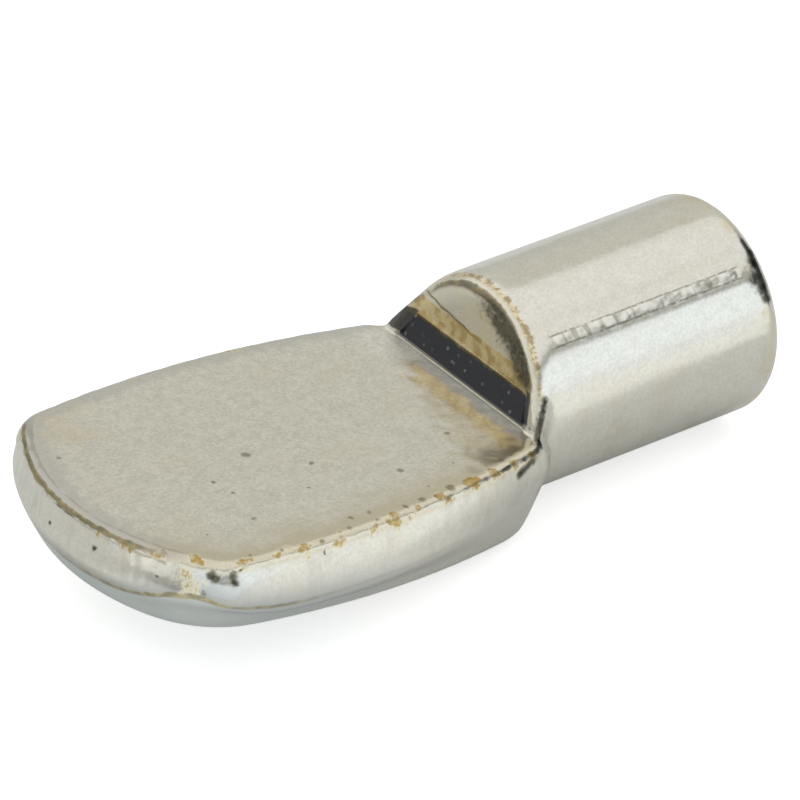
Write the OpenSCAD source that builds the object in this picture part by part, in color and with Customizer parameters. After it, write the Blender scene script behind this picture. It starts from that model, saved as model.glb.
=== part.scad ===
// Shelf support pin: a round pin for the drilled side of a cabinet, with a flat spoon-shaped
// seat that carries the shelf. It is headed and pressed from one length of steel wire.
// Millimetres. The origin is on the pin's axis, where the pin is first round all the way about.
// +X runs out to the pin's free end, -X to the seat's tip, and +Z points up, towards the shelf.

/* [Pin] */
// Diameter of the round pin, and of the hole that it fits
pin_d = 5; // [4:0.1:6]
// Length of the pin from the origin to its free end
pin_length = 5.9; // [4:0.1:12]
// Rounding of the pin's free end
pin_end_round = 0.45; // [0.1:0.05:0.8]
// Length of the neck, from the seat's heel to where the side of the pin is full size
neck_length = 0.65; // [0.5:0.05:0.9]
// Taper of the neck towards the seat, in degrees
neck_taper = 5; // [1:0.5:8]

/* [Step] */
// Lean of the step face away from the seat, in degrees from upright
step_lean = 14; // [5:1:25]
// Length along the pin of the rounded rim between the step face and the pin's side
rim_length = 0.55; // [0.2:0.05:0.8]
// Depth of that rounded rim, towards the pin's axis
rim_depth = 0.25; // [0.1:0.05:0.5]

/* [Seat outline] */
// Length of the seat from its heel at the step to its tip
seat_length = 10.1; // [8.5:0.05:16]
// Width of the seat at its widest place
seat_width = 7.65; // [6.8:0.05:8]
// Width that the arcs of the two sides come down to at the heel
heel_width = 6.1; // [5.4:0.05:6.4]
// Distance of the widest place from the heel
widest_at = 5.6; // [4.5:0.1:7]
// Radius of the shallow arc across the tip
tip_radius = 5.3; // [4.2:0.05:6]
// Distance that the press leaves that arc off centre, towards the +Y side
tip_offset = 0.15; // [0:0.05:0.3]
// Distance that the wall across the tip flares out, down to its foot
tip_flare = 0.3; // [0:0.05:0.5]
// Rounding of the corners between the tip and the sides, at the seat
corner_round = 0.6; // [0.3:0.05:1]
// Rounding of the same corners at the underside
under_corner_round = 2.3; // [1:0.1:2.6]
// Distance that the shoulders reach past the heel, at the seat
shoulder_reach = 0.3; // [0.1:0.05:0.5]
// Distance that the shoulders sweep further back along the pin, down at the underside
shoulder_sweep = 0.8; // [0:0.05:1.2]
// Rounding of the shoulders, where the sides turn in to the pin
shoulder_round = 0.9; // [0.5:0.05:1.4]

/* [Seat section] */
// Height of the seat's heel above the pin's axis
seat_height = 0.3; // [0:0.05:0.8]
// Rise of the seat towards its tip, in degrees
seat_rise = 3; // [0:0.5:5]
// Rounding of the seat's upper edge
edge_round = 0.2; // [0.05:0.05:0.3]
// Depth of the side wall below the seat
wall_depth = 1.25; // [0.8:0.05:1.4]
// Distance that the pressed wall bulges out half-way down
wall_bulge = 0.07; // [0:0.01:0.12]
// Distance that the wall draws in at its foot
wall_draw = 0.38; // [0.2:0.01:0.45]
// Distance that the rounded underside runs in from the foot of the wall
underside_round = 0.5; // [0.3:0.05:1]
// Thickness of the seat at its heel
heel_thickness = 2.75; // [2.4:0.05:3]
// Thickness of the seat at its tip
tip_thickness = 1.9; // [1.6:0.05:2.2]
// Length of the level belly under the seat, from the heel
belly_length = 2.4; // [1:0.1:4]
// Width of the level belly
belly_width = 3; // [1:0.1:4]
// Distance that the belly stands below the pin's side
belly_drop = 0.05; // [0.02:0.01:0.2]

/* [Hidden] */
pin_r = pin_d / 2;
// the step's rim meets the top of the pin at x = 0, and the heel of the seat is at the foot of the step
heel_x = -rim_length - (pin_r - seat_height) * tan(step_lean);
neck_x = heel_x + neck_length;
// each side of the seat is one arc, along the seat's length at its widest place
side_bow = (seat_width - heel_width) / 2;
side_radius = (widest_at * widest_at + side_bow * side_bow) / (2 * side_bow);
ample = 6 * pin_d;  // size of a block that reaches right past the part
slice = 0.01;       // thickness of one slice of a loft
edge_steps = 4;     // slices round the seat's upper edge
wall_steps = 5;     // slices down the side wall
under_steps = 5;    // slices round the underside
rim_steps = 4;      // slices round the step's rim

// flat shape with its outer corners rounded
module rounded(radius) {
    offset(r = radius, $fn = 48) offset(delta = -radius) children();
}

// endless strip between the two bowed sides
module sides() {
    intersection() {
        translate([-widest_at, seat_width / 2 - side_radius]) circle(side_radius, $fn = 360);
        translate([-widest_at, side_radius - seat_width / 2]) circle(side_radius, $fn = 360);
    }
}

// everything behind the arc across the tip, at the given depth
module behind_tip(depth) {
    flare = tip_flare * min(1, depth / wall_depth);
    translate([tip_radius - seat_length - flare, tip_offset]) {
        circle(tip_radius, $fn = 120);
        translate([0, -tip_radius]) square([ample, 2 * tip_radius]);
    }
}

// plan of the seat at the given depth, drawn in all round by inset
module seat_plan(inset, depth) {
    below = depth / heel_thickness;
    shoulder_x = shoulder_reach + shoulder_sweep * sin(90 * below);
    intersection() {
        rounded(corner_round + (under_corner_round - corner_round) * below)
            offset(delta = -inset) intersection() {
                sides();
                behind_tip(depth);
            }
        rounded(shoulder_round)
            offset(delta = -inset) intersection() {
                sides();
                translate([shoulder_x - ample, -ample / 2]) square(ample);
            }
    }
}

// one level of the seat: its plan, drawn in by inset, at its depth below the heel and the tip
module seat_level(inset, heel_depth, tip_depth) {
    translate([heel_x, 0, seat_height]) rotate([0, seat_rise, 0])
        translate([0, 0, -heel_depth - slice])
            rotate([0, atan((heel_depth - tip_depth) / seat_length), 0])
                linear_extrude(slice) seat_plan(inset, heel_depth);
}

// rounded upper edge of the seat
module seat_edge() {
    for (i = [0 : edge_steps]) {
        angle = 90 * i / edge_steps;
        depth = edge_round * (1 - cos(angle));
        seat_level(edge_round * (1 - sin(angle)), depth, depth);
    }
}

// side wall: it bulges half-way down, and draws in ever more towards its foot
module seat_wall() {
    for (i = [1 : wall_steps]) {
        down = i / wall_steps;
        depth = edge_round + (wall_depth - edge_round) * down;
        seat_level(wall_draw * pow(down, 3) - 4 * wall_bulge * down * (1 - down), depth, depth);
    }
}

// underside: a quarter of an ellipse, from the foot of the wall down to the full thickness
module seat_underside() {
    for (i = [1 : under_steps]) {
        angle = 90 * i / under_steps;
        seat_level(wall_draw + underside_round * (1 - cos(angle)),
                   wall_depth + (heel_thickness - wall_depth) * sin(angle),
                   wall_depth + (tip_thickness - wall_depth) * sin(angle));
    }
}

// level belly, on which the part rests
module seat_belly() {
    translate([heel_x - belly_length, -belly_width / 2, -pin_r - belly_drop])
        cube([belly_length, belly_width, slice]);
}

// spoon-shaped seat
module seat() {
    hull() {
        seat_edge();
        seat_wall();
        seat_underside();
        seat_belly();
    }
}

// everything in front of the leaning step face, moved along the pin by shift
module before_step(shift) {
    translate([heel_x + shift, 0, seat_height]) rotate([0, step_lean, 0])
        translate([-ample, -ample / 2, -ample / 2]) cube(ample);
}

// one slice of the pin, of the given radius, that leans with the step face
module leaning_slice(shift, radius) {
    intersection() {
        rotate([0, 90, 0]) cylinder(r = radius, h = ample, center = true, $fn = 96);
        difference() {
            before_step(shift + slice);
            before_step(shift);
        }
    }
}

// rounded rim of the step face, flared at its foot to meet the seat's shoulders
module step_rim() {
    hull() {
        for (i = [0 : rim_steps]) {
            angle = 90 * i / rim_steps;
            leaning_slice(rim_length * (1 - cos(angle)), pin_r - rim_depth * (1 - sin(angle)));
        }
        leaning_slice(rim_length + slice, pin_r - slice);
        intersection() {
            seat_level(edge_round / 2, 0, 0);
            translate([heel_x, -ample / 2, -ample / 2]) cube(ample);
        }
    }
}

// neck between the pin and the shoulders, which runs on into the seat
module neck() {
    reach = pin_r + neck_x;
    translate([neck_x, 0, 0]) rotate([0, -90, 0])
        cylinder(h = reach, r1 = pin_r, r2 = pin_r - reach * tan(neck_taper), $fn = 96);
}

// round pin, with its free end rounded
module pin() {
    rotate([0, 90, 0]) rotate_extrude($fn = 96) {
        translate([0, neck_x]) square([pin_r, pin_length - pin_end_round - neck_x]);
        square([pin_r - pin_end_round, pin_length]);
        translate([pin_r - pin_end_round, pin_length - pin_end_round]) circle(pin_end_round, $fn = 48);
    }
}

// pin and neck behind the step's rim
module shank() {
    difference() {
        union() {
            pin();
            neck();
        }
        before_step(rim_length);
    }
}

module support_pin() {
    color("silver") union() {
        seat();
        step_rim();
        shank();
    }
}

support_pin();
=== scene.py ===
import math
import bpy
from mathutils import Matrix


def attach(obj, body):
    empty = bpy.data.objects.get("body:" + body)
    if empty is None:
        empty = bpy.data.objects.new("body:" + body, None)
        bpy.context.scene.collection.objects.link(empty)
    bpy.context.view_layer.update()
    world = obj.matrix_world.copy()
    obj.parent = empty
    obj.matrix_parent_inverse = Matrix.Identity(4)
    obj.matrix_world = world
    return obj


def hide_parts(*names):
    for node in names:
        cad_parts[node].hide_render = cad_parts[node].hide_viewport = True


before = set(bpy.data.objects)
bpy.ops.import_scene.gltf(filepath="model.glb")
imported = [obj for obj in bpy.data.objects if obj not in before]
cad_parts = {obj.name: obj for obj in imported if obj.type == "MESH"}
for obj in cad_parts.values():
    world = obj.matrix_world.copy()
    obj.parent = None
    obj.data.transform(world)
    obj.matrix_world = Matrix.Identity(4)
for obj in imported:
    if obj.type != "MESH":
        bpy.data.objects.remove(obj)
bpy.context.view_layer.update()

from types import SimpleNamespace

import bmesh
import bpy
from mathutils import Matrix, Vector, noise
from mathutils.geometry import intersect_point_line

MM = 0.001

# sizes of the pin and its seat, in millimetres: the pin points to +x, and the seat to -x
PIN_RADIUS = 2.5
PIN_LENGTH = 5.9
RIM_LENGTH = 0.55
SEAT_HEIGHT = 0.3
SEAT_RISE = math.radians(3)
STEP_LEAN = math.radians(14)
BELLY_DROP = 0.05
SEAT_LENGTH = 10.1
SEAT_WIDTH = 7.65
HEEL_WIDTH = 6.1
WIDEST_AT = 5.6
TIP_RADIUS = 5.3
TIP_OFFSET = 0.15
WALL_DEPTH = 1.25
HEEL_THICKNESS = 2.75
TIP_THICKNESS = 1.9

# middle of the line where the seat meets the step, and the ways that the two of them face
HEEL = Vector((-RIM_LENGTH - (PIN_RADIUS - SEAT_HEIGHT) * math.tan(STEP_LEAN), 0, SEAT_HEIGHT))
SEAT_UP = Vector((math.sin(SEAT_RISE), 0, math.cos(SEAT_RISE)))
STEP_OUT = Vector((-math.cos(STEP_LEAN), 0, math.sin(STEP_LEAN)))

# each side of the seat bows out in one arc
SIDE_BOW = (SEAT_WIDTH - HEEL_WIDTH) / 2
SIDE_RADIUS = (WIDEST_AT ** 2 + SIDE_BOW ** 2) / (2 * SIDE_BOW)

# the floor lies just clear of the belly
FLOOR_GAP = 0.003
FLOOR_Z = -PIN_RADIUS - BELLY_DROP - FLOOR_GAP

# size of the even faces that the pin is remade with
FACE_SIZE = 0.064

# the step face passes into its rim between these distances from the pin's axis
STEP_EDGE = (2.44, 2.3)

# the foot of the step leans further back than the rest, up to this height above the seat
FOOT_HEIGHT = 0.72
FOOT_TOP = SEAT_HEIGHT + FOOT_HEIGHT
FOOT_DEPTH = 0.16
FOOT_LEAN = STEP_LEAN + math.atan(FOOT_DEPTH / FOOT_HEIGHT)
FOOT_OUT = Vector((-math.cos(FOOT_LEAN), 0, math.sin(FOOT_LEAN)))

# its crease with the seat is sharp up to the first distance from the middle, and gone at the second
CREASE_SHARP_TO = 2.2
CREASE_ENDS_AT = 2.4
# what lies within the first distance of the crease is drawn towards it, and within the second, onto it
CREASE_REACH = (0.25, 0.15)
# faces this near to the crease are cut along it, and what lies this near to the cut is on its line
CUT_REACH = 0.3
ON_CREASE = 0.008

# the middle of the step is ochre up to this height above the pin's axis, and near the top of that a
# crack runs along it, between these two
OCHRE_TOP = 1.33
CRACK = (1.27, 1.3)

# the sides' walls stand out by this distance at their foot
WALL_FLARE = 0.33

# the foot of the wall stands higher at one corner of the tip: where, how far round it, and by how much
RAISED_FOOT = Vector((-10.2, -3.3))
RAISED_REACH = 1.3
FOOT_RISE = 0.55

# the wall across the tip stands in by this distance, just below the upper edge
TIP_DRAW = 0.1

# the far corner of the tip is drawn out: where, how far round it, and by how much
FAR_CORNER = Vector((-10.25, 3.1))
CORNER_REACH = 0.3
CORNER_DRAW = 0.1

# the sides of the seat turn into its tip between these places
TO_TIP = (-9.6, -10.2)

# the seam that drawing has left along the wire, its lines painted dark reflection and its middle a painted
# highlight,
# in degrees: its place from the top towards the near side, its width, and the two borders of each of its
# lines, from its middle
SEAM_ANGLE = 44
SEAM_WIDTH = 5
SEAM_LINE = (2.7, 3.2)

# heights and depths of the surface's relief, in millimetres
PLATE_WAVE = 0.0009
PLATE_RIPPLE = 0.0002
MARK_DEPTH = 0.006
PIT_DEPTH = 0.009
WALL_RIPPLE = 0.005
EDGE_WEAR = 0.014
SEAM_RELIEF = 0.008
GRAIN_DEPTH = 0.007

# spacing of the plate's grain, in millimetres: the real one is too fine to show, so it is drawn coarser
FINE_GRAIN = 1 / 14
MEDIUM_GRAIN = 1 / 3.8
COARSE_GRAIN = 1 / 0.9
# spacing of the streaks down the wall, of the bars across the seam and of the specks on the step
STREAK_SPACING = 1 / 3.5
BAR_SPACING = 1 / 5.5
SPECK_SPACING = 1 / 5

# what the mesh carries for the material to read: how ochre, dark and marked it is, the height above the
# foot of the wall, the distance in from the seat's outline, and where the step face is
FIELDS = ("ochre", "dark", "mark", "foot", "inset", "step")

# small marks on the seat: place along and across, and radius
SEAT_MARKS = [
    (-6.8, -0.15, 0.15), (-8.0, -0.7, 0.08), (-7.9, -1.25, 0.09), (-8.1, -2.3, 0.1), (-5.8, -1.1, 0.09),
    (-4.35, -2.3, 0.1), (-10.25, 1.7, 0.08), (-9.3, -2.35, 0.06), (-6.4, -1.9, 0.06), (-5.9, -3.3, 0.08),
    (-5.1, -3.5, 0.08), (-4.62, -3.45, 0.13), (-3.84, -3.4, 0.13), (-7.37, -3.7, 0.09), (-2.6, -1.6, 0.1),
    (-6.35, -3.3, 0.1), (-8.3, -3.6, 0.08), (-3.2, -2.6, 0.07), (-4.2, -3.1, 0.06), (-9.0, -3.4, 0.07),
    (-4.3, -3.48, 0.08), (-3.5, -3.38, 0.07), (-6.6, -3.6, 0.08), (-5.9, -3.6, 0.07)]
# small pits in the wall: place and radius
WALL_PITS = [
    (-9.88, -3.45, 0.49, 0.22), (-9.98, -3.38, 0.5, 0.12), (-9.61, -3.66, 0.56, 0.2),
    (-9.57, -3.7, 0.4, 0.17), (-11.16, -0.95, 0.33, 0.12), (-11.31, 0.5, 0.21, 0.07),
    (-10.65, -2.47, 0.27, 0.07), (-10.13, -3.41, 0.17, 0.12), (-8.95, -3.6, 0.2, 0.1),
    (-7.75, -3.75, 0.6, 0.08), (-9.4, -3.6, 0.58, 0.1), (-7.35, -3.8, 0.4, 0.07), (-3.92, -3.65, 0.3, 0.1)]
# painted dark reflection where the free end is rounded over: place and radius
END_PATCH = [
    (5.64, -1.45, 1.98, 0.2), (5.58, -1.66, 1.83, 0.28), (5.45, -1.9, 1.62, 0.36), (5.52, -2.03, 1.42, 0.33),
    (5.56, -2.14, 1.22, 0.25)]
# middle of the painted dark reflection along the line where the seat's edge turns up into the rim of the
# step, and its half width
SHOULDER_LINE = [Vector(place) for place in (
    (-0.6, -2.4, 0.92), (-0.8, -2.53, 0.66), (-0.95, -2.65, 0.45), (-1.15, -2.87, 0.12), (-1.62, -3.15, 0.08),
    (-1.95, -3.27, 0.02))]
SHOULDER_SHADE = 0.16
# tarnish down the wall at the corner of the tip: place and radius
WALL_STAINS = [
    (-10.3, -2.97, 0.5, 0.36), (-10.22, -3.1, 0.25, 0.42), (-10.2, -3.2, 0.05, 0.32),
    (-9.72, -3.55, 0.6, 0.12)]
# tarnish on the seat's upper edge: place along and across the seat, and radius
EDGE_STAINS = [
    (-11.1, -0.94, 0.16), (-10.9, -1.7, 0.18), (-10.55, -2.3, 0.22), (-10.05, -3.0, 0.22),
    (-9.1, -3.5, 0.14), (-8.45, -3.65, 0.2), (-7.8, -3.78, 0.3), (-6.95, -3.78, 0.28), (-6.1, -3.78, 0.16),
    (-5.5, -3.72, 0.36), (-4.9, -3.65, 0.16), (-4.2, -3.55, 0.24), (-3.25, -3.34, 0.27), (-2.7, -3.32, 0.3),
    (-2.0, -3.25, 0.25), (-1.55, -3.1, 0.16)]


def link(obj):
    """Put a new object in the scene."""
    bpy.context.scene.collection.objects.link(obj)
    return obj


# ---------------------------------------------------------------- places on the pin

def ramp(value, low, high):
    """0 at low, 1 at high and smooth between them."""
    share = min(1, max(0, (value - low) / (high - low)))
    return share * share * (3 - 2 * share)


def band(value, low, high, soft):
    """1 from low to high, fading over soft on both sides."""
    return ramp(value, low - soft, low) * ramp(value, high + soft, high)


def above_seat(place):
    """Height above the plane of the seat."""
    return (place - HEEL).dot(SEAT_UP)


def above_foot(place):
    """Height above the line along which the wall turns under, which rises at one corner of the tip."""
    apart = math.hypot(place.x - RAISED_FOOT.x, place.y - RAISED_FOOT.y) / RAISED_REACH
    return above_seat(place) + WALL_DEPTH - FOOT_RISE * math.exp(-apart * apart)


def inset(place):
    """Distance in from the outline of the seat."""
    widest_x = HEEL.x - WIDEST_AT
    side = SIDE_RADIUS - math.hypot(place.x - widest_x, abs(place.y) + SIDE_RADIUS - SEAT_WIDTH / 2)
    tip_x = HEEL.x - SEAT_LENGTH + TIP_RADIUS
    tip = TIP_RADIUS - math.hypot(min(0, place.x - tip_x), place.y - TIP_OFFSET) if place.x < tip_x else side
    return min(side, tip)


def from_axis(place):
    return math.hypot(place.y, place.z)


def on_step(place):
    """1 on the step face, inside its rim."""
    off_step = abs((place - HEEL).dot(STEP_OUT))
    return ramp(off_step, 0.3, 0.2) * ramp(from_axis(place), *STEP_EDGE)


def nearest(place, marks):
    """How deep a place lies within the nearest of some round marks: 1 at the middle, 0 at the rim."""
    return max(1 - (place - Vector(mark[:-1])).length / mark[-1] for mark in marks)


def within_line(place, line, width):
    """How deep a place lies within a line's width: 1 on the line, 0 at its border."""
    gaps = []
    for start, end in zip(line, line[1:]):
        share = intersect_point_line(place, start, end)[1]
        gaps.append((place - start.lerp(end, min(1, max(0, share)))).length)
    return 1 - min(gaps) / width


def wobble(place, scale):
    """Smooth offset that varies from place to place."""
    return Vector([noise.noise(place * scale + Vector((9 * k, 0, 0))) for k in range(3)])


# ---------------------------------------------------------------- shape

def even_mesh(source, face_size):
    """Closed copy of a CAD node, in millimetres, with small even faces."""
    mesh = source.data.copy()
    mesh.transform(Matrix.Scale(1 / MM, 4))
    bm = bmesh.new()
    bm.from_mesh(mesh)
    bmesh.ops.remove_doubles(bm, verts=bm.verts, dist=0.0005)
    bm.to_mesh(mesh)
    bm.free()
    rough = link(bpy.data.objects.new("rough", mesh))
    remesh = rough.modifiers.new("even", "REMESH")
    remesh.mode = "VOXEL"
    remesh.voxel_size = face_size
    even = bpy.data.meshes.new_from_object(rough.evaluated_get(bpy.context.evaluated_depsgraph_get()))
    bpy.data.objects.remove(rough)
    return even


def lean_foot_back(bm):
    """Cut the step face in to a shallow hollow, with its foot leaning further back."""
    top = PIN_RADIUS - SEAT_HEIGHT
    for vert in bm.verts:
        if vert.co.x < HEEL.x - 0.05 or vert.co.x > 0 or vert.normal.dot(STEP_OUT) < 0.5:
            continue
        height = vert.co.z - SEAT_HEIGHT
        if height < FOOT_HEIGHT:
            deep = height / FOOT_HEIGHT
        else:
            deep = (top - height) / (top - FOOT_HEIGHT)
        vert.co -= STEP_OUT * FOOT_DEPTH * max(0, deep) * on_step(vert.co)


def flare_wall(bm):
    """Lean the side walls out, down to a firmer foot, and draw the tip's wall in below its edge."""
    for vert in bm.verts:
        height = above_seat(vert.co)
        if vert.co.x > HEEL.x or height > -0.1:
            continue
        foot = above_foot(vert.co)
        share = (HEEL.x - vert.co.x) / SEAT_LENGTH
        thickness = HEEL_THICKNESS + (TIP_THICKNESS - HEEL_THICKNESS) * share
        lean = min(1, max(0, (WALL_DEPTH - 0.15 - foot) / (WALL_DEPTH - 0.2)))
        fall = ramp(foot, -0.75 * (thickness - WALL_DEPTH), -0.05)
        near_tip = ramp(vert.co.x, HEEL.x + 1, HEEL.x - 5)
        out = WALL_FLARE * lean * lean * fall * ramp(height, -0.1, -0.4) * near_tip
        vert.co += Vector((0, vert.normal.y, 0)) * out
        drawn = TIP_DRAW * ramp(height, -0.15, -0.45) * ramp(height, -1.0, -0.5)
        vert.co += Vector((max(0, -vert.normal.x), 0, 0)) * drawn


def draw_out_corner(bm):
    """Bring the far corner of the tip to a firmer point."""
    for vert in bm.verts:
        apart = (vert.co.xy - FAR_CORNER).length / CORNER_REACH
        below = ramp(above_seat(vert.co), -0.8, -0.2)
        vert.co.x -= CORNER_DRAW * math.exp(-apart * apart) * below


def smooth(bm, rounds):
    """Take the remesh's small steps out of the surface."""
    for _ in range(rounds):
        bmesh.ops.smooth_vert(
            bm, verts=bm.verts, factor=0.5, use_axis_x=True, use_axis_y=True, use_axis_z=True)


def firm_crease(bm):
    """Draw what lies about the foot of the step onto seat and step, so that they meet in a sharp line."""
    near = []
    for face in bm.faces:
        middle = face.calc_center_median()
        if abs(middle.y) < CREASE_ENDS_AT and math.hypot(middle.x - HEEL.x, middle.z - HEEL.z) < CUT_REACH:
            near.append(face)
    edges = dict.fromkeys(edge for face in near for edge in face.edges)
    verts = dict.fromkeys(vert for face in near for vert in face.verts)
    bmesh.ops.bisect_plane(
        bm, geom=[*near, *edges, *verts], dist=0.004, plane_co=HEEL, plane_no=FOOT_OUT - SEAT_UP)
    line = set()
    for vert in bm.verts:
        off_seat = above_seat(vert.co)
        off_step = (vert.co - HEEL).dot(FOOT_OUT)
        if abs(vert.co.y) > CREASE_ENDS_AT:
            continue
        if min(off_seat, off_step) <= -0.05 or max(off_seat, off_step) >= CREASE_REACH[0]:
            continue
        share = ramp(abs(vert.co.y), CREASE_ENDS_AT, CREASE_SHARP_TO)
        if abs(off_seat - off_step) < ON_CREASE:
            line.add(vert)
        if off_step > off_seat - ON_CREASE:
            vert.co -= SEAT_UP * off_seat * share * ramp(off_step, *CREASE_REACH)
        if off_seat > off_step - ON_CREASE:
            vert.co -= FOOT_OUT * off_step * share * ramp(off_seat, *CREASE_REACH)
    for edge in bm.edges:
        if edge.verts[0] in line and edge.verts[1] in line:
            edge.smooth = False


def flatten_seat(bm):
    """Bring the seat, inside its edges, onto one plane."""
    for vert in bm.verts:
        off_seat = above_seat(vert.co)
        if vert.co.x < HEEL.x and abs(off_seat) < 0.03:
            vert.co -= SEAT_UP * off_seat * ramp(inset(vert.co), 0.35, 0.7)


def relief(place):
    """Height of the surface above its true form."""
    rise = PLATE_WAVE * noise.noise(place * 1.3) + PLATE_RIPPLE * noise.noise(place * 4.0)
    if place.x < HEEL.x:
        height = above_seat(place)
        if height > -0.1:
            rise -= MARK_DEPTH * max(0, nearest(place.xy, SEAT_MARKS))
        elif height > -0.9:
            rise -= PIT_DEPTH * max(0, nearest(place, WALL_PITS))
            rise += WALL_RIPPLE * noise.noise(Vector((place.x * 6, place.y * 6, place.z)))
        worn = band(height, -0.3, -0.03, 0.08)
        rise -= EDGE_WEAR * worn * max(0, noise.noise(place * 3.0) + 0.1)
    elif place.x > 0:
        angle = math.degrees(math.atan2(-place.y, place.z))
        seam = ramp(abs(angle - SEAM_ANGLE), SEAM_WIDTH, 0.5 * SEAM_WIDTH)
        clear_of_end = ramp(place.x, PIN_LENGTH - 0.3, PIN_LENGTH - 0.6)
        rise += SEAM_RELIEF * seam * noise.noise(place * 6.0) * clear_of_end
    return rise


# ---------------------------------------------------------------- tarnish and painted dark reflections that the mesh carries

def seat_tarnish(place):
    """How ochre, dark and marked the seat and its wall are at a place."""
    height = above_seat(place)
    warp = wobble(place, 3.3)
    ragged = place + 0.1 * warp + 0.13 * wobble(place, 6.0)
    # stains along the edge, with fainter patches between them, all fading out down the wall
    ochre = 1.15 * nearest(ragged.xy, EDGE_STAINS) - 3.5 * max(0, -height - 0.12)
    patches = 0.7 * noise.noise(place.xy.to_3d() * 1.6) - 3 * max(0, -height - 0.15)
    along_tip = ramp(place.x, *TO_TIP) * ramp(place.y, -2.6, -2.0)
    ochre = max(ochre, patches + 0.1 * ramp(place.y, 1.0, -3.0) - along_tip)
    if height > -0.1:
        return ochre, -1.0, nearest(place.xy + 0.05 * warp.xy, SEAT_MARKS)
    ochre = max(ochre, 0.6 * nearest(ragged, WALL_STAINS))
    return ochre, nearest(place + 0.09 * wobble(place, 6.0), WALL_PITS), -1.0


def tarnish(place):
    """The fields that the material reads, in the order of FIELDS."""
    ochre = dark = mark = -1.0
    if place.x < HEEL.x + 0.3 and above_seat(place) > -0.8:
        ochre, dark, mark = seat_tarnish(place)
    # painted dark reflections on the rounded free end and along the shoulder
    if place.x > PIN_LENGTH - 1:
        dark = nearest(place + 0.04 * wobble(place, 3.3), END_PATCH)
    elif place.x > -2.4 and place.y < -2:
        dark = max(dark, within_line(place + 0.02 * wobble(place, 3.3), SHOULDER_LINE, SHOULDER_SHADE))
    # an ochre band across the step, and a painted dark reflection on its near side
    inside = on_step(place)
    if inside > 0:
        rise = place.z - SEAT_HEIGHT + 0.04 * noise.noise(place * 2.0)
        ochre = max(ochre, 0.5 * inside * band(rise, FOOT_HEIGHT, 1.4, 0.2) - 0.3)
        shade = ramp(from_axis(place), 1.5, 2.1) * ramp(place.y, 0.6, -0.6) * ramp(rise, 0.5, 0.8)
        dark = max(dark, 0.75 * shade * inside - 0.1)
    return ochre, dark, mark, above_foot(place), inset(place), inside


def make_pin():
    """The CAD node remade with even faces, then shaped, stained, given its painted dark reflections and given
    its relief.
    """
    mesh = even_mesh(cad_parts["support_pin"], FACE_SIZE)
    bm = bmesh.new()
    bm.from_mesh(mesh)
    bmesh.ops.recalc_face_normals(bm, faces=bm.faces)
    bm.normal_update()
    lean_foot_back(bm)
    flare_wall(bm)
    draw_out_corner(bm)
    smooth(bm, rounds=4)
    firm_crease(bm)
    flatten_seat(bm)
    bmesh.ops.recalc_face_normals(bm, faces=bm.faces)
    bm.normal_update()
    layers = [bm.verts.layers.float.new(name) for name in FIELDS]
    moved = []
    for vert in bm.verts:
        for layer, field in zip(layers, tarnish(vert.co)):
            vert[layer] = field
        moved.append(vert.co + vert.normal * relief(vert.co))
    for vert, place in zip(bm.verts, moved):
        vert.co = place
    bmesh.ops.triangulate(bm, faces=bm.faces)
    bm.to_mesh(mesh)
    bm.free()
    mesh.transform(Matrix.Scale(MM, 4))
    mesh.name = "pin_metal"
    mesh.polygons.foreach_set("use_smooth", [True] * len(mesh.polygons))
    mesh.materials.clear()
    return link(bpy.data.objects.new("pin_metal", mesh))


# ---------------------------------------------------------------- nodes

def linear(colour):
    """Linear colour of an sRGB hex value."""
    parts = [int(colour[i:i + 2], 16) / 255 for i in (1, 3, 5)]
    return [c / 12.92 if c <= 0.04045 else ((c + 0.055) / 1.055) ** 2.4 for c in parts] + [1]


def bare_tree(owner):
    """Empty node tree of a material or a world."""
    owner.use_nodes = True
    owner.node_tree.nodes.clear()
    return owner.node_tree


def add(tree, kind, settings=None, inputs=None):
    """New node, with its settings, and its inputs linked, or set to a number or a hex colour."""
    node = tree.nodes.new(kind)
    for name, value in (settings or {}).items():
        setattr(node, name, value)
    for name, value in (inputs or {}).items():
        if isinstance(value, bpy.types.NodeSocket):
            tree.links.new(value, node.inputs[name])
        elif isinstance(value, str):
            node.inputs[name].default_value = linear(value)
        else:
            node.inputs[name].default_value = value
    return node


def reach(tree, place, direction):
    """How far a place lies along a direction."""
    return add(tree, "ShaderNodeVectorMath", {"operation": "DOT_PRODUCT"},
               {0: place, 1: direction}).outputs["Value"]


def within(tree, *limits):
    """Share of a surface, or of the tent, that lies within all limits.

    A limit is a share from before, or a value with where it starts to count and where it counts in
    full, or a value with the two borders of a stripe and how softly they fade.
    """
    share = None
    for limit in limits:
        if isinstance(limit, tuple) and len(limit) == 4:
            value, low, high, soft = limit
            limit = within(tree, (value, low - soft, low), (value, high + soft, high))
        elif isinstance(limit, tuple):
            value, start, full = limit
            limit = add(tree, "ShaderNodeMapRange", {"interpolation_type": "SMOOTHSTEP"},
                        {"Value": value, "From Min": start, "From Max": full}).outputs[0]
        if share is None:
            share = limit
        else:
            share = add(tree, "ShaderNodeMath", {"operation": "MULTIPLY"}, {0: share, 1: limit}).outputs[0]
    return share


def most(tree, share, *others):
    """The largest of some shares."""
    for other in others:
        share = add(tree, "ShaderNodeMath", {"operation": "MAXIMUM"}, {0: share, 1: other}).outputs[0]
    return share


def broken(tree, value, *textures):
    """A value whose outline is broken up by textures, each with how far it shifts the value."""
    for texture, spread in textures:
        centred = add(tree, "ShaderNodeMath", {"operation": "SUBTRACT"}, {0: texture, 1: 0.5}).outputs[0]
        shift = add(tree, "ShaderNodeMath", {"operation": "MULTIPLY"}, {0: centred, 1: spread}).outputs[0]
        value = add(tree, "ShaderNodeMath", {"operation": "ADD"}, {0: value, 1: shift}).outputs[0]
    return value


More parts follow.
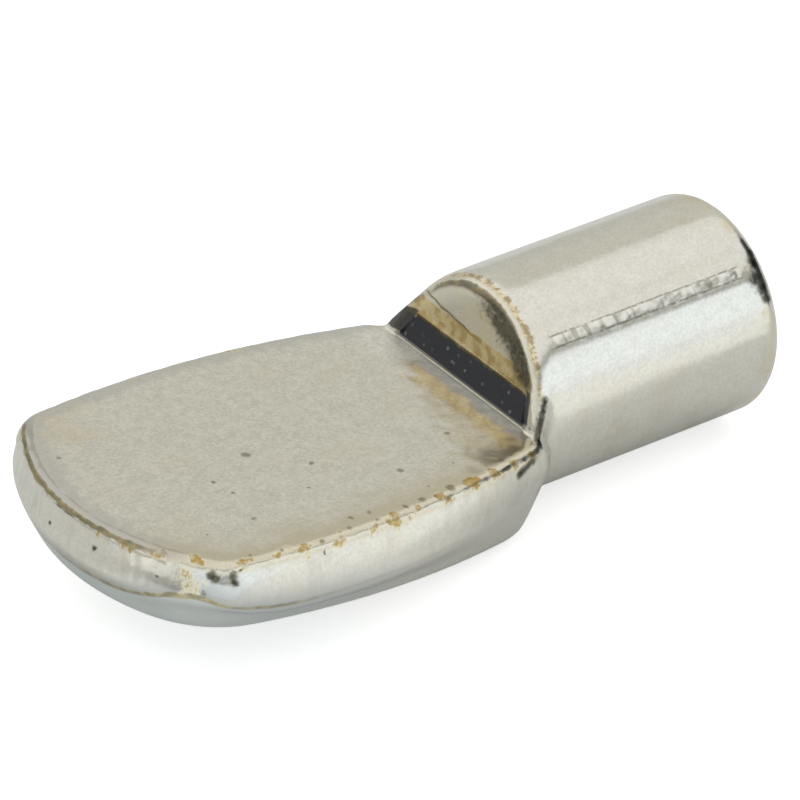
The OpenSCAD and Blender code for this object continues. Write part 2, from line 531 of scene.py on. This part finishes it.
def lay(tree, colour, *coats):
    """A colour with coats laid over it in turn, each with its share of the surface and its own colour."""
    for share, coat in coats:
        colour = add(tree, "ShaderNodeMix", {"data_type": "RGBA"}, {0: share, 6: colour, 7: coat}).outputs[2]
    return colour


def varied(tree, first, second, value, low, high):
    """A colour that turns from the first to the second while a value goes from low to high."""
    return lay(tree, first, (within(tree, (value, low, high)), second))


def grain(tree, place, spacing, detail, stretch=(1, 1, 1)):
    """Noise with a spacing in millimetres, drawn out along the axes whose number is below 1."""
    drawn = add(tree, "ShaderNodeVectorMath", {"operation": "MULTIPLY"}, {0: place, 1: stretch}).outputs[0]
    return add(tree, "ShaderNodeTexNoise", {},
               {"Vector": drawn, "Scale": 1 / (spacing * MM), "Detail": detail}).outputs["Fac"]


# ---------------------------------------------------------------- nickel plate

def surface(tree):
    """Where a point of the pin lies, in millimetres, what the mesh carries there, and the grain."""
    place = add(tree, "ShaderNodeTexCoord").outputs["Object"]

    def along(direction, origin):
        start = origin.dot(direction)
        return add(tree, "ShaderNodeMath", {"operation": "SUBTRACT"},
                   {0: reach(tree, place, direction / MM), 1: start}).outputs[0]

    at = SimpleNamespace(place=place)
    at.x, at.y, at.z = (along(axis, Vector()) for axis in Matrix.Identity(3))
    at.height = along(SEAT_UP, HEEL)
    at.behind_step = along(-STEP_OUT, HEEL)
    across = add(tree, "ShaderNodeVectorMath", {"operation": "MULTIPLY"}, {0: place, 1: (0, 1 / MM, 1 / MM)})
    at.from_axis = add(tree, "ShaderNodeVectorMath", {"operation": "LENGTH"},
                       {0: across.outputs[0]}).outputs["Value"]
    for name in FIELDS:
        setattr(at, name, add(tree, "ShaderNodeAttribute", {"attribute_name": name}).outputs["Fac"])
    at.fine = grain(tree, place, FINE_GRAIN, 3.0)
    at.medium = grain(tree, place, MEDIUM_GRAIN, 3.0)
    at.coarse = grain(tree, place, COARSE_GRAIN, 2.0)
    at.ragged_z = broken(tree, at.z, (at.medium, 0.12))
    at.on_seat = within(tree, (at.x, HEEL.x + 0.1, HEEL.x - 0.2))
    at.on_top = within(tree, at.on_seat, (at.height, -0.25, -0.15))
    at.on_rim = within(tree, (at.x, -1.0, 0.2, 0.1), (at.z, SEAT_HEIGHT, SEAT_HEIGHT + 0.3))
    at.on_step = within(tree, at.step, (at.height, 0.006, 0.016))
    at.on_step_foot = within(tree, at.on_step, (at.ragged_z, FOOT_TOP - 0.04, FOOT_TOP - 0.1))
    return at


def plate_colour(tree, at):
    """Bare plate: faintly mottled and greyer along the seat's edge, with painted shade low down on the wall
    and below its foot.
    """
    grains = within(tree, (broken(tree, at.fine, (at.medium, 0.5)), 0.2, 0.8))
    seat_tone = lay(tree, "#cdcbc0", (grains, "#e6e4da"))
    yellowed = within(tree, (at.coarse, 0.5, 0.8), 0.25)
    ragged_inset = broken(tree, at.inset, (at.medium, 0.5), (at.coarse, 0.5))
    beside_edge = within(tree, at.on_top, (ragged_inset, 0.2, 0.35, 0.3), 0.6)
    # painted shade: the cool grey of the shaded floor that the wall mirrors below its foot, towards the tip
    under = within(tree, (at.foot, 0.02, -0.12), (at.x, -4.0, -9.0))
    down_wall = grain(tree, at.place, STREAK_SPACING, 2.0, stretch=(1, 1, 0.15))
    streaks = within(tree, at.on_seat, (at.height, -0.15, -0.3), (at.foot, -0.1, 0.1),
                     (down_wall, 0.5, 0.68), 0.25)
    # painted shade: the wall darker towards its foot, towards the tip
    painted_foot_shade = within(tree, at.on_seat, (at.foot, 0.4, 0.0), (at.x, -3.0, -8.0), 0.75, (at.foot, -0.1, 0.0))
    # painted shade: the near wall darker towards its foot
    wall_shade = within(tree, at.on_seat, (at.foot, 0.9, 0.1), (at.y, -1.0, -2.5), (at.x, -2.5, -9.0), 0.65)
    pin_mottle = within(tree, (at.x, -0.5, 0.5), (at.z, 1.0, -0.3),
                        (broken(tree, at.coarse, (at.medium, 0.7)), 0.45, 0.7), 0.4)
    near_strip = within(tree, at.on_top, (broken(tree, at.inset, (at.coarse, 1.4)), 1.5, 0.3),
                        (at.y, -1.0, -2.6), 0.5)
    warm_tip = within(tree, at.on_top, (at.x, -8.3, -9.8), (at.y, 0.6, 2.4),
                      (broken(tree, at.coarse, (at.medium, 0.8)), 0.35, 0.65), 0.3)
    return lay(
        tree, "#d3d1c6",
        (grains, "#e2e0d6"),
        (at.on_top, seat_tone),
        (yellowed, "#dccfb4"),
        (beside_edge, varied(tree, "#c3c2be", "#cac2a9", at.y, -1.8, -3.0)),
        (under, "#c9d0cd"),
        (within(tree, at.on_step, 0.6), varied(tree, "#c9c8cb", "#d8cdb0", at.coarse, 0.4, 0.6)),
        # painted dark reflection: the foot of the step in a darker grey
        (at.on_step_foot, "#908f8d"),
        (streaks, "#b4b4b0"),
        (painted_foot_shade, "#9c9c93"),
        (wall_shade, "#a5a9a6"),
        (pin_mottle, "#c3bca9"),
        (near_strip, "#cbc1a6"),
        (warm_tip, "#d6c09a"))


def ochre_share(tree, at):
    """Where ochre tarnish covers the plate: in patches along the seat's edge, and in a few thin lines."""
    # a deep stain reaches further in from the edge
    wider = within(tree, most(tree, at.ochre, 0.0), 0.3)
    spread = add(tree, "ShaderNodeMath", {"operation": "SUBTRACT"}, {0: at.inset, 1: wider}).outputs[0]
    on_edge = within(tree, at.on_seat, (broken(tree, spread, (at.medium, 0.35)), 0.2, 0.04))
    patches = within(tree, (broken(tree, at.ochre, (at.medium, 1.0), (at.fine, 0.7)), -0.1, 0.9),
                     most(tree, on_edge, at.on_step))
    edge_line = within(tree, at.on_top, (broken(tree, at.inset, (at.medium, 0.2)), 0.13, 0.17, 0.05),
                       (at.coarse, 0.35, 0.6), (at.y, 2.8, 1.8), 0.45)
    along_rim = within(tree, at.on_rim,
                       (broken(tree, at.behind_step, (at.medium, 0.2)), 0.05, 0.2, 0.05), 0.3)
    end_ring = within(tree, (broken(tree, at.x, (at.medium, 0.3)), PIN_LENGTH - 0.5, PIN_LENGTH - 0.3, 0.1),
                      (at.coarse, 0.45, 0.6), 0.5)
    return most(tree, patches, edge_line, along_rim, end_ring)


def seat_marks(tree, at):
    """Coats for the seat: grey and brown along the tip's edge, a line at the wall's foot, small marks."""
    ragged_inset = broken(tree, at.inset, (at.medium, 0.1))
    tip_grey = within(tree, at.on_top, (ragged_inset, 0.06, 0.22, 0.05), (at.x, *TO_TIP),
                      (at.y, -3.0, -2.3), 0.6)
    foot_line = within(tree, (broken(tree, at.foot, (at.medium, 0.12)), -0.04, 0.02, 0.05),
                       (at.x, -6.5, -9.0), (at.coarse, 0.25, 0.5), 0.75)
    tip_edge = within(tree, at.on_seat, (at.height, -0.3, -0.2), (ragged_inset, 0.02, 0.075, 0.03),
                      (at.x, -9.9, -10.3), (at.y, -2.4, -1.8), 0.9)
    marks = within(tree, (broken(tree, at.mark, (at.medium, 0.8)), 0.0, 0.65), 0.7)
    return [
        (tip_grey, "#a19f97"),
        (foot_line, varied(tree, "#7c7353", "#a5986f", at.medium, 0.4, 0.6)),
        (tip_edge, varied(tree, "#726c50", "#9a8e66", at.medium, 0.35, 0.65)),
        (marks, "#6f6a4c")]


def step_marks(tree, at):
    """Coats for the step: ochre middle, crack near its top, lines on the rim, and a painted dark reflection
    at the ends of the foot.
    """
    middle = within(tree, at.on_step, (at.ragged_z, FOOT_TOP - 0.14, OCHRE_TOP, 0.03), 0.9)
    ragged_behind = broken(tree, at.behind_step, (at.medium, 0.2), (at.fine, 0.06))
    outer_line = within(tree, at.on_rim, (ragged_behind, 0.22, 0.28, 0.07), (at.coarse, 0.3, 0.5), 0.8)
    fall = add(tree, "ShaderNodeMath", {"operation": "MULTIPLY"}, {0: at.y, 1: 0.12}).outputs[0]
    slanted_z = add(tree, "ShaderNodeMath", {"operation": "SUBTRACT"}, {0: at.ragged_z, 1: fall}).outputs[0]
    crack = within(tree, at.on_step, (slanted_z, *CRACK, 0.03), (at.y, -0.6, 0.6), 0.7)
    inner_line = within(tree, at.on_rim, (at.z, 1.0, 1.3),
                        (broken(tree, at.behind_step, (at.medium, 0.08)), 0.03, 0.1, 0.03),
                        (broken(tree, at.from_axis, (at.medium, 0.1)), 2.2, 2.3), 0.75)
    far_or_outermost = most(tree, within(tree, (at.y, 1.0, 1.5)), within(tree, (at.from_axis, 2.4, 2.34)))
    # painted dark reflection at the two ends of the step's foot
    foot_ends = within(tree, (at.x, -1.35, -0.6, 0.06), (at.z, 0.42, 0.96, 0.05),
                       (broken(tree, at.from_axis, (at.medium, 0.06)), 2.12, 2.2), far_or_outermost, 0.9)
    return [
        (middle, varied(tree, "#b9a06a", "#d8c595", at.medium, 0.4, 0.6)),
        (outer_line, varied(tree, "#94804f", "#dccda6", broken(tree, at.medium, (at.fine, 0.8)), 0.35, 0.65)),
        (crack, "#6b5a38"),
        (inner_line, varied(tree, "#57503c", "#8b7b52", at.medium, 0.4, 0.6)),
        (foot_ends, "#474748")]


def painted_seam_reflections(tree, at):
    """Coats for the seam along the pin: painted highlight cells between two lines of painted dark reflection,
    with bars across.
    """
    off_seam = at.y
    for operation, number in (("MULTIPLY", -1.0), ("ARCTAN2", at.z), ("MULTIPLY", 180 / math.pi),
                              ("SUBTRACT", SEAM_ANGLE), ("ABSOLUTE", 0.0)):
        off_seam = add(tree, "ShaderNodeMath", {"operation": operation}, {0: off_seam, 1: number}).outputs[0]
    off_seam = broken(tree, off_seam, (at.medium, 1.2))
    inner, outer = SEAM_LINE
    along_pin = (at.x, 0.1, PIN_LENGTH - 0.9, 0.2)
    lines = within(tree, (off_seam, inner, outer, 0.5), (broken(tree, at.fine, (at.coarse, 0.4)), 0.38, 0.52))
    across_seam = grain(tree, at.place, BAR_SPACING, 1.0, stretch=(1, 0.3, 0.3))
    bars = within(tree, (off_seam, outer, inner), (across_seam, 0.5, 0.66), 0.8)
    return [
        # painted highlight along the middle of the seam, and painted dark reflection in its lines and bars
        (within(tree, (off_seam, 2.8, 2.0), along_pin, 0.6), "#efeee6"),
        (within(tree, most(tree, lines, bars), along_pin, 0.7), "#858170")]


def nickel():
    """Drawn steel wire, bright nickel-plated and worn.

    The plate gives a slightly warm satin mirror with a faint grain. Where it has worn thin it is
    duller, under a film of ochre tarnish, and black with dirt in the pits. Dark reflections on the free
    end, the shoulder and the step, shade low on the wall, and highlights and dark lines along the seam
    are painted into its colour.
    """
    material = bpy.data.materials.new("nickel-plated steel")
    tree = bare_tree(material)
    at = surface(tree)

    ochre = ochre_share(tree, at)
    film = varied(tree, "#dad4be", "#b2975c", broken(tree, ochre, (at.medium, 1.0), (at.fine, 0.6)), 0.5, 1.1)
    off_foot = add(tree, "ShaderNodeMath", {"operation": "SUBTRACT"}, {0: 1.0, 1: at.on_step_foot}).outputs[0]
    tarnished = within(tree, (within(tree, ochre, off_foot), 0.0, 0.6))
    # dirt in the wall's pits, and painted dark reflections on the free end, the shoulder and the step
    dirt_and_dark_reflection = within(tree, (broken(tree, at.dark, (at.medium, 1.0), (at.fine, 0.5)), 0.1, 0.75))
    # painted dark reflection, off the seat
    painted_dark_reflection = varied(tree, "#343433", "#6c6859", at.medium, 0.35, 0.65)
    # dirt in the wall's pits, and where the shoulder's painted dark reflection reaches the seat
    pit_dirt_and_reflection = varied(tree, "#262523", "#67634f", broken(tree, at.medium, (at.fine, 0.8)), 0.3, 0.7)
    colour = lay(
        tree, plate_colour(tree, at), (tarnished, film), *seat_marks(tree, at), *step_marks(tree, at),
        *painted_seam_reflections(tree, at), (dirt_and_dark_reflection, lay(tree, painted_dark_reflection, (at.on_seat, pit_dirt_and_reflection))))

    worn = within(tree, most(tree, tarnished, dirt_and_dark_reflection), off_foot)
    scuffed = within(tree, (at.height, 0.03, 0.0), (at.y, 1.0, 1.5), (at.x, -2.3, -1.8))
    dots = add(tree, "ShaderNodeTexVoronoi", {}, {"Vector": at.place, "Scale": 1 / (SPECK_SPACING * MM)})
    ragged_dots = broken(tree, dots.outputs["Distance"], (at.fine, 0.3))
    specks = within(tree, at.on_step_foot, (ragged_dots, 0.34, 0.1), (at.medium, 0.4, 0.6))
    roughness = add(tree, "ShaderNodeMapRange", {}, {"Value": worn, "To Min": 0.17, "To Max": 0.3}).outputs[0]
    for share, rougher in ((scuffed, 0.5), (at.on_step_foot, 0.09), (specks, 0.28)):
        roughness = add(tree, "ShaderNodeMix", {"data_type": "FLOAT"},
                        {0: share, 2: roughness, 3: rougher}).outputs[0]

    bump = add(tree, "ShaderNodeBump", {}, {"Height": at.fine, "Strength": 0.1, "Distance": GRAIN_DEPTH * MM})
    shader = add(tree, "ShaderNodeBsdfPrincipled", {}, {
        "Base Color": colour, "Metallic": 1.0, "Roughness": roughness, "Normal": bump.outputs["Normal"]})
    add(tree, "ShaderNodeOutputMaterial", {}, {"Surface": shader.outputs["BSDF"]})
    return material


# ---------------------------------------------------------------- studio

def white_card():
    """White card, matt and pale to its edges, on a table that is lit in front of the pin."""
    material = bpy.data.materials.new("white card")
    tree = bare_tree(material)
    place = add(tree, "ShaderNodeTexCoord").outputs["Object"]
    # the lit table is what the plate mirrors, and starts at these distances from the pin
    table = within(tree, (reach(tree, place, (-0.5, -0.87, 0)), 3 * MM, 9 * MM),
                   (reach(tree, place, (0, -1, 0)), -2 * MM, 3 * MM), 0.36)
    shown = add(tree, "ShaderNodeLightPath").outputs["Is Camera Ray"]
    glow = add(tree, "ShaderNodeMix", {"data_type": "FLOAT"}, {0: shown, 2: table, 3: 0.6}).outputs[0]
    shader = add(tree, "ShaderNodeBsdfPrincipled", {}, {
        "Base Color": "#e6e6e4", "Roughness": 0.9, "Emission Color": "#ffffff", "Emission Strength": glow})
    add(tree, "ShaderNodeOutputMaterial", {}, {"Surface": shader.outputs["BSDF"]})
    return material


def make_floor():
    """Wide sheet of the card."""
    bm = bmesh.new()
    bmesh.ops.create_grid(bm, x_segments=1, y_segments=1, size=0.6)
    bmesh.ops.translate(bm, verts=bm.verts, vec=(0, 0, FLOOR_Z * MM))
    mesh = bpy.data.meshes.new("floor")
    bm.to_mesh(mesh)
    bm.free()
    floor = link(bpy.data.objects.new("floor", mesh))
    mesh.materials.append(white_card())


def make_studio():
    """Light tent whose walls, panels and dark gaps are what the plate mirrors."""
    world = bpy.data.worlds.new("light tent")
    bpy.context.scene.world = world
    tree = bare_tree(world)
    way = add(tree, "ShaderNodeTexCoord").outputs["Generated"]
    axes = add(tree, "ShaderNodeSeparateXYZ", {}, {"Vector": way}).outputs
    y, z = axes["Y"], axes["Z"]

    # how bright each part of the tent is, in red, green and blue
    wall_low = (0.62, 0.62, 0.59, 1)
    wall_high = (0.715, 0.708, 0.66, 1)
    doorway = (0.12, 0.125, 0.14, 1)
    gap = (0.30, 0.30, 0.27, 1)
    panel_low = (1.03, 1.06, 1.08, 1)
    panel_high = (1.15, 1.22, 1.30, 1)
    dark_wall = (0.05, 0.055, 0.06, 1)
    white = (1.0, 1.0, 1.0, 1)

    # the near panel has a gap above it, and the panel overhead ends at a slant on the far side
    beside = within(tree, (y, -0.15, -0.3))
    slant = add(tree, "ShaderNodeMath", {"operation": "MULTIPLY"}, {0: z, 1: 0.65}).outputs[0]
    beyond = add(tree, "ShaderNodeMath", {"operation": "SUBTRACT"}, {0: y, 1: slant}).outputs[0]
    overhead = within(tree, (beyond, 0.02, -0.02), (y, -0.3, -0.15), (z, 0.2, 0.4))
    # the doorway is low down at the left, the dark wall at the right, and a lamp behind the far side
    left = within(tree, (reach(tree, way, (-0.733, 0.672, 0.085)), 0.991, 0.996))
    right = within(tree, (reach(tree, way, (0.956, -0.151, 0.252)), 0.89, 0.93))
    behind = within(tree, (reach(tree, way, (-0.1, 0.67, 0.735)), 0.87, 0.93))
    light = lay(
        tree, wall_low,
        (within(tree, (z, 0.0, 0.5)), wall_high),
        (left, doorway),
        (beside, white),
        (within(tree, beside, (z, 0.70, 0.60)), gap),
        (within(tree, beside, (z, 0.575, 0.555)), varied(tree, panel_low, panel_high, z, 0.0, 0.25)),
        (overhead, white),
        (right, dark_wall),
        (behind, white),
        (add(tree, "ShaderNodeLightPath").outputs["Is Camera Ray"], white))
    back = add(tree, "ShaderNodeBackground", {}, {"Color": light, "Strength": 1.0})
    add(tree, "ShaderNodeOutputWorld", {}, {"Surface": back.outputs[0]})


def make_camera():
    """Long lens, above the near side and in front of the seat's tip."""
    data = bpy.data.cameras.new("camera")
    data.sensor_width = 36
    data.lens = 315
    data.clip_start = 0.005
    data.clip_end = 5
    camera = link(bpy.data.objects.new("camera", data))
    place = Vector((-78.204, -100.479, 81.17))
    right = Vector((0.8078, -0.5891, 0.0225)).normalized()
    back = Vector((-0.5055, -0.6725, 0.5406)).normalized()
    up = back.cross(right).normalized()
    turn = Matrix((up.cross(back), up, back)).transposed().to_4x4()
    camera.matrix_world = Matrix.Translation(place * MM) @ turn
    bpy.context.scene.camera = camera


make_camera()
make_studio()
make_floor()
pin = make_pin()
pin.data.materials.append(nickel())
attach(pin, "root")
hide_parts("support_pin")

bpy.context.scene.view_settings.view_transform = "Standard"
